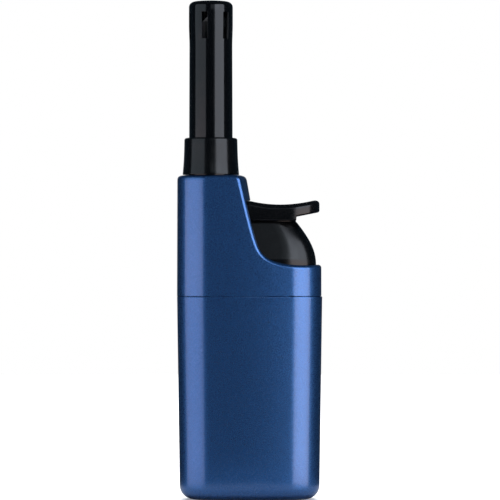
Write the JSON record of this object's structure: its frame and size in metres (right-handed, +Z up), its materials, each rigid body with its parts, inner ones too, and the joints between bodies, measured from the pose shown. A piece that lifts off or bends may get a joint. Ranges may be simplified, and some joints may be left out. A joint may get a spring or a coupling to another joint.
{
  "type": "butane utility lighter",
  "caption": "Slim upright gas utility lighter: rounded flat tank, scooped upper housing, sliding thumb button and a round black nozzle tube with slots at its tip.",
  "frame": {"origin": "middle of the base, at the centre of the bounding box's lowest face", "axes": "+Z up along the nozzle, +X towards the thumb pad's free end, Y through the thickness, broad faces towards -Y and +Y"},
  "size_m": [0.035, 0.015, 0.12],
  "materials": {
    "blue_paint": "satin metallic blue lacquer on a moulded plastic shell",
    "black_gloss": "gloss black moulded plastic",
    "black_enamel": "gloss black enamel on rolled steel",
    "dark_plastic": "matt dark grey moulded plastic",
    "pale_plastic": "matt off-white acetal",
    "blackened_steel": "heat-blackened steel",
    "brass": "turned brass",
    "aluminium": "plain turned or pressed aluminium",
    "steel": "plain steel",
    "spring_steel": "bright spring wire",
    "rubber": "matt nitrile rubber",
    "ceramic": "fired piezo ceramic",
    "foam": "sintered filter felt",
    "clear_hose": "translucent flexible plastic tube",
    "lead_jacket": "red insulated high-voltage lead"
  },
  "bodies": {
    "casing": {"tank_body": "blue_paint", "tank_lid": "dark_plastic", "upper_housing": "blue_paint", "nozzle_collar": "black_gloss", "nozzle_tube": "black_enamel", "nozzle_insert": "pale_plastic", "burner_jet": "blackened_steel", "spark_electrode": "steel", "gas_hose": "clear_hose", "ignition_lead": "lead_jacket", "lever_pin": "steel", "outlet_valve_housing": "brass", "outlet_valve_seal": "rubber", "outlet_valve_spring": "spring_steel", "gas_filter": "foam", "dip_tube": "pale_plastic", "piezo_case": "dark_plastic", "piezo_hammer_spring": "spring_steel", "piezo_return_spring": "spring_steel", "piezo_anvil": "brass", "piezo_crystal": "ceramic", "piezo_contact": "brass", "refill_valve_body": "brass", "refill_valve_spring": "spring_steel", "refill_valve_seal": "rubber"},
    "button": {"thumb_button": "black_gloss", "piezo_plunger": "pale_plastic"},
    "hammer": {"piezo_hammer": "steel"},
    "lever": {"gas_lever": "aluminium"},
    "outlet_stem": {"outlet_valve_stem": "aluminium"},
    "refill_stem": {"refill_valve_stem": "aluminium"}
  },
  "joints": [
    {"name": "button_press", "type": "slide", "parent": "casing", "child": "button", "axis": [0, 0, -1], "range_m": [0, 0.004], "stiffness_N_per_m": 1500, "springref_m": -0.0012, "deforming": ["piezo_hammer_spring", "piezo_return_spring"]},
    {"name": "hammer_strike", "type": "slide", "parent": "casing", "child": "hammer", "axis": [0, 0, -1], "range_m": [0, 0.0032], "stiffness_N_per_m": 60, "deforming": ["piezo_hammer_spring"]},
    {"name": "lever_tilt", "type": "hinge", "parent": "casing", "child": "lever", "pos_m": [-0.0048, 0, 0.06], "axis": [0, 1, 0], "range_deg": [0, 12]},
    {"name": "outlet_lift", "type": "slide", "parent": "casing", "child": "outlet_stem", "axis": [0, 0, 1], "range_m": [0, 0.0009], "deforming": ["outlet_valve_spring", "gas_hose"]},
    {"name": "refill_press", "type": "slide", "parent": "casing", "child": "refill_stem", "axis": [0, 0, 1], "range_m": [0, 0.0012], "stiffness_N_per_m": 400, "springref_m": -0.0005, "deforming": ["refill_valve_spring"]}
  ],
  "couplings": [
    {"joint": "lever_tilt", "follows": "button_press", "rad_per_m": 52.35},
    {"joint": "outlet_lift", "follows": "button_press", "ratio": 0.2245}
  ]
}
